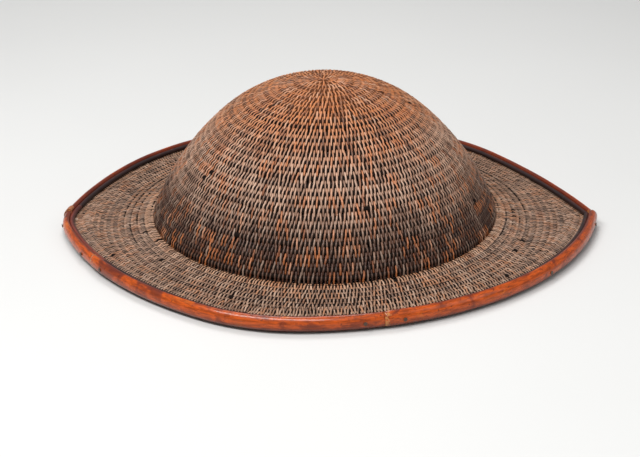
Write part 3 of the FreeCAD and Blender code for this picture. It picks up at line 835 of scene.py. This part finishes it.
class Outline:
    """The weave's edge with its corner at the right point."""

    def __init__(self):
        self.spots, self.outward = outline_points()
        self.bearing = np.degrees(np.arctan2(
            self.spots[:, 1] - AXIS_Y, self.spots[:, 0] - AXIS_X)) % 360
        first, last = self.spots[0], self.spots[-1]
        self.tip = (first + last) / 2 + np.array([0.0001, 0])
        self.mitre = self.outward[0] + self.outward[-1]
        self.mitre /= np.linalg.norm(self.mitre)
        self.mitre /= float(self.mitre @ self.outward[0])

    def spot(self, bearing):
        around = np.arange(-1, len(self.bearing) + 1)
        known = np.concatenate([[self.bearing[-1] - 360], self.bearing, [self.bearing[0] + 360]])
        place = np.interp(bearing % 360, known, around)
        low = int(np.clip(math.floor(place), 0, len(self.spots) - 2))
        part = min(max(place - low, 0.0), 1.0)
        out = self.outward[low] * (1 - part) + self.outward[low + 1] * part
        return self.spots[low] * (1 - part) + self.spots[low + 1] * part, out / np.linalg.norm(out)

    def stretch(self, start, end, step=0.5, clear=0.0):
        """Places and outward directions from one bearing to another. The corner gets its mitre."""
        rows = []
        count = max(2, round((end - start) / step))
        for index in range(count + 1):
            bearing = start + (end - start) * index / count
            corner = round(bearing / 360) * 360
            previous = start + (end - start) * (index - 1) / count
            if index and (previous < corner <= bearing):
                rows.append((self.tip, self.mitre))
            elif bearing == corner:
                rows.append((self.tip, self.mitre))
            if abs(bearing - corner) > max(clear, 0.12):
                rows.append(self.spot(bearing))
        spots = np.array([row[0] for row in rows])
        keep = np.concatenate([[True], np.hypot(*np.diff(spots, axis=0).T) > 0.00005])
        return spots[keep], np.array([row[1] for row in rows])[keep]


def arc_through(first, middle, last, steps):
    """Points on the circle through three points, without the last."""
    (ax, ay), (bx, by), (cx, cy) = first, middle, last
    twice = 2 * (ax * (by - cy) + bx * (cy - ay) + cx * (ay - by))
    a, b, c = ax * ax + ay * ay, bx * bx + by * by, cx * cx + cy * cy
    x = (a * (by - cy) + b * (cy - ay) + c * (ay - by)) / twice
    y = (a * (cx - bx) + b * (ax - cx) + c * (bx - ax)) / twice
    radius = math.hypot(ax - x, ay - y)
    start = math.atan2(ay - y, ax - x)
    middle_turn = (math.atan2(by - y, bx - x) - start) % (2 * math.pi)
    turn = (math.atan2(cy - y, cx - x) - start) % (2 * math.pi)
    if middle_turn > turn:
        turn -= 2 * math.pi
    turns = (start + turn * step / steps for step in range(steps))
    return [(x + radius * math.cos(at), y + radius * math.sin(at)) for at in turns]


RIM_THICKNESS = 5.4 * MM
GAP = 0.05 * MM
STRIP_SIZE = 3.6 * MM
# how far from its end a cane is rubbed down
RUBBED_RUN = 0.004


def rim_section(proud):
    """Split cane on edge: outer face first, from its foot up, then the flat inner face."""
    inside, outside = GAP, GAP + RIM_THICKNESS + proud
    low, high = RIM_LOW - proud / 2, RIM_HIGH + proud
    crest = inside + 0.42 * RIM_THICKNESS
    shoulder = inside + 0.35 * (crest - inside)
    ease = 0.14 * (RIM_HIGH - RIM_LOW)
    points = arc_through((crest, low), (outside, (low + high) / 2), (crest, high), 12)
    points += arc_through((crest, high), (shoulder, high - 0.3 * ease), (inside, high - ease), 4)
    points += [(inside, high - ease), (inside, (low + high) / 2)]
    points += arc_through((inside, low + ease), (shoulder, low + 0.3 * ease), (crest, low), 4)
    return points


def upper_strip_section():
    wide = high = STRIP_SIZE
    inner, outer = -wide, -GAP / 2
    crest = (inner + outer) / 2
    foot = EDGE_HIGH_Z
    points = [(outer, foot + GAP), (outer, foot + 0.5 * high)]
    points += arc_through(
        (outer, foot + 0.8 * high), (crest, foot + high), (inner, foot + 0.7 * high), 7)
    points += [(inner, foot + 0.7 * high), (inner, foot + SLOPE * wide + GAP)]
    return points


def sweep(name, stretch, section, materials, wave=0.0, seed=0.0, chip=(0.0, 0.0)):
    """A closed tube along a stretch of the rim, with caps of the second material.

    wave is how unevenly it was shaved. chip is how far the two ends are rubbed down.
    """
    spots, outs = stretch
    middle = np.array(section).mean(0)
    run = np.concatenate([[0], np.cumsum(np.hypot(*np.diff(spots, axis=0).T))])
    mesh = bmesh.new()
    layer = mesh.loops.layers.uv.new("UVMap")
    rows = []
    for index, (spot, out) in enumerate(zip(spots, outs)):
        s = run[index]
        slim = wave * (
            0.5 + 0.25 * math.sin(s * 61 + seed) + 0.25 * math.sin(s * 143 + 2.1 * seed))
        ends = max(
            chip[0] * max(0, 1 - s / RUBBED_RUN),
            chip[1] * max(0, 1 - (run[-1] - s) / RUBBED_RUN))
        row = []
        for column, (d, z) in enumerate(section):
            pull = slim * (0.6 + 0.4 * math.sin(s * 88 + column * 0.9 + seed)) + ends
            d, z = d + (middle[0] - d) * pull, z + (middle[1] - z) * pull
            row.append(mesh.verts.new((spot[0] + out[0] * d, spot[1] + out[1] * d, z)))
        rows.append(row)
    around = len(section)
    for index, (low, high) in enumerate(zip(rows, rows[1:])):
        for column in range(around):
            corner = (column + 1) % around
            face = mesh.faces.new((low[column], low[corner], high[corner], high[column]))
            face.smooth = True
            u = (run[index] * 100, run[index + 1] * 100)
            v = (column / around, (column + 1) / around)
            corners = ((u[0], v[0]), (u[0], v[1]), (u[1], v[1]), (u[1], v[0]))
            for loop, value in zip(face.loops, corners):
                loop[layer].uv = value
    for cap in (rows[0], rows[-1][::-1]):
        face = mesh.faces.new(cap)
        face.material_index = 1
        for loop in face.loops:
            loop[layer].uv = (0, 0)
    return closed_object(mesh, name, materials)


LAP_STEP = 0.5 * MM
RIM_CANES = (
    # node, start and end bearings, laps, rubbed-down ends
    ("rim_cane_back", 0, 177, 0, (0.0, 0.0)),
    ("rim_cane_left_end", 177, 204, 0, (0.0, 0.0)),
    ("rim_cane_front_left", 204, 283.5, 1, (0.05, 0.0)),
    ("rim_cane_front_right", 283.5, 360, 2, (0.10, 0.0)))
UPPER_STRIPS = (
    ("upper_strip_back", -10, 174), ("upper_strip_left_end", 174, 207),
    ("upper_strip_front", 207, 370))


def paint(node, material):
    """Give a construction node its finish."""
    slots = frame["nodes"][node].data.materials
    slots.clear()
    slots.append(material)


# ---- the head ring's lashings ----

STAY_COUNT = 8
STAY_DIAMETER = 3.6 * MM
LASHING_SPACING = 0.95 * MM
LASHING_ROOM = 0.25 * MM
LASHING_REACHES = (3.9 * MM, 3.0 * MM)
LASHING_THICKNESS = 0.45 * MM
LASHING_FLATNESS = 0.55


def lashing_loop(mesh, centre, radial, slant, half_depth):
    """One turn of a thin strand round the hoop and a stay."""
    around, section = 28, 6
    near_reach, far_reach = LASHING_REACHES
    side = radial.cross(slant).normalized()
    rows = []
    for index in range(around):
        angle = 2 * math.pi * index / around
        lean = (1 + math.cos(angle)) / 2
        reach = near_reach + (far_reach - near_reach) * lean
        spot = centre + radial * (half_depth * math.cos(angle)) + slant * (reach * math.sin(angle))
        out = (radial * math.cos(angle) + slant * math.sin(angle)).normalized()
        rows.append([
            mesh.verts.new(
                spot + (out * math.cos(turn) * LASHING_FLATNESS + side * math.sin(turn))
                * LASHING_THICKNESS)
            for turn in (2 * math.pi * corner / section for corner in range(section))])
    for index in range(around):
        low, high = rows[index], rows[(index + 1) % around]
        for corner in range(section):
            follow = (corner + 1) % section
            mesh.faces.new((low[corner], low[follow], high[follow], high[corner])).smooth = True


def head_ring_lashings():
    hoop_low, hoop_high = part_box("head_hoop")
    thickness = hoop_high.z - hoop_low.z
    hoop_radius = (hoop_high.x - hoop_low.x - thickness) / 2
    inside = hoop_radius - thickness / 2
    outside = inside + thickness + STAY_DIAMETER
    mesh = bmesh.new()
    hoop_middle = Vector((AXIS_X, AXIS_Y, (hoop_low.z + hoop_high.z) / 2))
    for index in range(STAY_COUNT):
        bearing = 2 * math.pi * (index + 0.5) / STAY_COUNT
        radial = Vector((math.cos(bearing), math.sin(bearing), 0))
        along = Vector((-radial.y, radial.x, 0))
        middle = hoop_middle + radial * ((inside + outside) / 2)
        for way in (1, -1):
            for turn in (-1, 0, 1):
                slant = (along * way + Vector((0, 0, 1))).normalized()
                aside = (along - Vector((0, 0, way))).normalized() * (turn * LASHING_SPACING)
                lashing_loop(
                    mesh, middle + aside, radial, slant,
                    (outside - inside) / 2 + LASHING_ROOM)
    return closed_object(mesh, "head_ring_lashings")


# ---- operators ----


class HAT_OT_crown(bpy.types.Operator):
    """Stitch the crown, outside and inside, over its core canes"""

    bl_idname = "hat.crown"
    bl_label = "Crown stitching"

    def execute(self, context):
        look = colours()
        # the dark foot zone is partly the strands' own dark colour and partly painted shade of the lower
        # crown, lit from above
        finish = strand_finish(
            "crown strands",
            ((26 * MM, look.crown_foot), (72 * MM, look.crown_middle), (110 * MM, look.crown_top)),
            (0.55, 0.17, 0.045), (0.12, 0.055, 0.035))
        core = core_finish()
        for number in range(1, 6):
            paint("crown_core_cane_%d" % number, core)
        paint("coil_start", core)
        tree = StitchTree()
        outside = strand_kinds("outside strand", strand_length(), True)
        inside = strand_kinds("inside strand", strand_length(), False)
        lift = sizes().core_diameter / 2 - SINK
        for number, (first, last) in enumerate(OUTSIDE_PARTS):
            cloud = crown_stitches(first, last).cloud("crown places", 1, lift)
            piece = tree.lay(cloud, "crown_outside_%d" % (number + 1), outside, finish, 10 + number)
            add_piece(piece, "crown_stitching", "crown_stitching")
        for number, (first, last) in enumerate(((1, 21), (21, CROWN_COURSES + 1))):
            cloud = crown_stitches(first, last).cloud("crown places", -1, lift)
            piece = tree.lay(cloud, "crown_inside_%d" % (number + 1), inside, finish, 20 + number)
            add_piece(piece, "crown_stitching")
        drop_strands(outside)
        drop_strands(inside)
        return {"FINISHED"}


class HAT_OT_brim(bpy.types.Operator):
    """Stitch the brim, top and underneath, over its core canes"""

    bl_idname = "hat.brim"
    bl_label = "Brim stitching"

    def execute(self, context):
        look = colours()
        finish = strand_finish(
            "brim strands", ((4 * MM, shade(look.brim, 1.05)), (16 * MM, look.brim)),
            (0.42, 0.17, 0.07), (0.11, 0.065, 0.045), (0.52, 0.29, 0.17))
        core = core_finish()
        for node in (
            "inner_brim_core_cane_1", "inner_brim_core_cane_2", "outer_brim_core_cane_1",
            "outer_brim_core_cane_2", "outer_brim_core_cane_3", "short_course_canes"):
            paint(node, core)
        tree = StitchTree()
        top = strand_kinds("brim strand", strand_length(), True)
        under = strand_kinds("under strand", strand_length(), False)
        lift = sizes().core_diameter / 2 - SINK
        spots, outward = outline_points()
        inner = inner_brim_stitches()
        short = Stitches()
        add_short_courses(short, spots, outward)
        outer = outer_brim_stitches(spots, outward)
        for number, (stitches, name, nodes) in enumerate((
            (inner, "inner", ("inner_brim_stitching",)),
            (short, "short", ("short_course_stitching",)),
            (outer, "outer", ("outer_brim_stitching",)))):
            cloud = stitches.cloud("brim places", 1, lift - SINK)
            piece = tree.lay(
                cloud, "brim_top_" + name, top, finish, 30 + number, Turn_Play=0.12,
                Lift_Play=0.2 * MM, Breadth_Play=0.18, Missing=0.006)
            add_piece(piece, "brim_stitching", *nodes)
            cloud = stitches.cloud("brim places", -1, lift)
            piece = tree.lay(cloud, "brim_under_" + name, under, finish, 40 + number)
            add_piece(piece, "brim_stitching")
        drop_strands(top)
        drop_strands(under)
        return {"FINISHED"}


class HAT_OT_rim(bpy.types.Operator):
    """Sweep the lacquered rim canes, and finish their pins and collar"""

    bl_idname = "hat.rim"
    bl_label = "Rim"

    def execute(self, context):
        look = colours()
        dark, worn = (0.10, 0.014, 0.006), (0.58, 0.17, 0.03)
        lacquer = lacquer_finish("rim lacquer", look.rim, dark, worn)
        cut = cut_finish()
        outline = Outline()
        for number, (node, start, end, laps, chip) in enumerate(RIM_CANES):
            piece = sweep(
                node.replace("cane", "lacquered"), outline.stretch(start, end),
                rim_section(laps * LAP_STEP), (lacquer, cut), 0.035, number * 1.7, chip)
            add_piece(piece, "rim_cane", node)
        pale = lacquer_finish(
            "collar cane", (0.5, 0.24, 0.1), (0.3, 0.1, 0.04), (0.62, 0.36, 0.18), 0.4, 0.3, False)
        paint("rim_collar", pale)
        paint("rim_pins", pin_finish())
        return {"FINISHED"}


class HAT_OT_rim_strips(bpy.types.Operator):
    """Sweep the dark strips inside the rim and finish those underneath"""

    bl_idname = "hat.rim_strips"
    bl_label = "Rim strips"

    def execute(self, context):
        look = colours()
        strip = lacquer_finish(
            "dark strip", look.strip, (0.012, 0.004, 0.004), (0.16, 0.05, 0.03), 0.38, 0.8, False)
        red = lacquer_finish(
            "red strip", (0.16, 0.028, 0.016), (0.05, 0.010, 0.008), (0.3, 0.1, 0.05),
            0.35, 0.5, False)
        cut = cut_finish()
        outline = Outline()
        for number, (node, start, end) in enumerate(UPPER_STRIPS):
            finish = red if node == "upper_strip_left_end" else strip
            piece = sweep(
                node.replace("upper_strip", "top_strip"), outline.stretch(start, end, clear=0.4),
                upper_strip_section(), (finish, cut), 0.10, 3 + number * 1.3)
            add_piece(piece, "rim_strip", node)
        under = bamboo_finish()
        paint("lower_strip_back", under)
        paint("lower_strip_front", under)
        return {"FINISHED"}


class HAT_OT_head_ring(bpy.types.Operator):
    """Finish the head ring and tie its stays to the hoop"""

    bl_idname = "hat.head_ring"
    bl_label = "Head ring"

    def execute(self, context):
        bamboo = bamboo_finish()
        for node in ("head_band", "head_hoop", "head_ring_stays"):
            paint(node, bamboo)
        lashings = head_ring_lashings()
        cane = Shader("lashing cane", Roughness=0.55)
        grain = cane.noise(cane.place(), 700, 3, 0.6)
        lashings.data.materials.append(cane.finish(
            cane.mix(grain, (0.30, 0.17, 0.08), (0.46, 0.29, 0.16)), None, grain, 0.3, 0.0001))
        add_piece(lashings, "head_ring")
        return {"FINISHED"}


FLOOR_HALF = 6.0
WORLD_STRENGTH = 0.32
LAMP_AIM = Vector((0, 0, 0.05))
LAMPS = (
    # name, place, the two sides of the lamp, power in watts
    ("key lamp", (-0.40, -0.72, 1.20), (1.3, 0.28), 20.0),
    ("fill lamp", (0.95, -0.55, 0.8), (0.7, 0.7), 2.0),
    ("top lamp", (-0.1, 0.45, 1.3), (0.6, 0.6), 8.0))


class HAT_OT_stage(bpy.types.Operator):
    """Set out the floor, the lights and the camera"""

    bl_idname = "hat.stage"
    bl_label = "Stage"

    def execute(self, context):
        scene = context.scene
        scene.view_settings.view_transform = "Standard"
        mesh = bpy.data.meshes.new("floor")
        corners = [
            (x * FLOOR_HALF, y * FLOOR_HALF, 0) for x, y in ((-1, -1), (1, -1), (1, 1), (-1, 1))]
        mesh.from_pydata(corners, [], [(0, 1, 2, 3)])
        floor = linked("floor", mesh)
        shader = Shader("pale floor", Roughness=0.9)
        mesh.materials.append(shader.finish(shader.mix(
            shader.noise(shader.place(), 3, 2, 0.5), (0.62, 0.62, 0.61), (0.66, 0.66, 0.65))))
        world = bpy.data.worlds.new("studio")
        world.use_nodes = True
        backdrop = world.node_tree.nodes["Background"].inputs
        backdrop["Color"].default_value = (1, 1, 1, 1)
        backdrop["Strength"].default_value = WORLD_STRENGTH
        scene.world = world
        for name, spot, size, power in LAMPS:
            lamp = bpy.data.lights.new(name, "AREA")
            lamp.shape = "RECTANGLE"
            (lamp.size, lamp.size_y), lamp.energy = size, power
            obj = linked(name, lamp)
            obj.location = spot
            obj.rotation_euler = (LAMP_AIM - Vector(spot)).to_track_quat("-Z", "Y").to_euler()
        scene.camera = studio_camera()
        return {"FINISHED"}


FOCAL_LENGTH = 98.4375
SENSOR_WIDTH = 36
CAMERA_DISTANCE = 1.34745
CAMERA_ELEVATION = math.radians(24.0)
CAMERA_ROLL = math.radians(-0.57)
CAMERA_TURN = math.radians(0.69)
CAMERA_SIDE = -3.64 * MM
CAMERA_RISE = -15.69 * MM


def studio_camera():
    forward = Vector((0, math.cos(CAMERA_ELEVATION), -math.sin(CAMERA_ELEVATION)))
    right = Vector((1, 0, 0))
    up = right.cross(forward)
    side = right * math.cos(CAMERA_ROLL) + up * math.sin(CAMERA_ROLL)
    rise = up * math.cos(CAMERA_ROLL) - right * math.sin(CAMERA_ROLL)
    spot = side * CAMERA_SIDE + rise * CAMERA_RISE - forward * CAMERA_DISTANCE
    turn = Matrix.Rotation(CAMERA_TURN, 3, "Z")
    place = Matrix.Identity(4)
    for column, axis in enumerate((turn @ side, turn @ rise, turn @ -forward)):
        for row in range(3):
            place[row][column] = axis[row]
    place.translation = turn @ spot + Vector((AXIS_X, AXIS_Y, FOLD_Z))
    data = bpy.data.cameras.new("studio camera")
    data.lens, data.sensor_width = FOCAL_LENGTH, SENSOR_WIDTH
    camera = linked("studio camera", data)
    camera.matrix_world = place
    return camera


PIECES = (HAT_OT_crown, HAT_OT_brim, HAT_OT_rim, HAT_OT_rim_strips, HAT_OT_head_ring, HAT_OT_stage)


class HAT_PT_maker(bpy.types.Panel):
    bl_label = "Cane hat"
    bl_idname = "HAT_PT_maker"
    bl_space_type = "VIEW_3D"
    bl_region_type = "UI"
    bl_category = "Cane hat"

    def draw(self, context):
        for group in (context.scene.hat_sizes, context.scene.hat_colours):
            for name in group.__annotations__:
                self.layout.prop(group, name)
        for piece in PIECES:
            self.layout.operator(piece.bl_idname)


CLASSES = (HatSizes, HatColours, *PIECES, HAT_PT_maker)


def register():
    for item in CLASSES:
        bpy.utils.register_class(item)
    bpy.types.Scene.hat_sizes = bpy.props.PointerProperty(type=HatSizes)
    bpy.types.Scene.hat_colours = bpy.props.PointerProperty(type=HatColours)


def unregister():
    del bpy.types.Scene.hat_sizes
    del bpy.types.Scene.hat_colours
    for item in reversed(CLASSES):
        bpy.utils.unregister_class(item)


def main():
    register()
    bpy.ops.hat.crown()
    bpy.ops.hat.brim()
    bpy.ops.hat.rim()
    bpy.ops.hat.rim_strips()
    bpy.ops.hat.head_ring()
    bpy.ops.hat.stage()


if __name__ == "__main__":
    main()
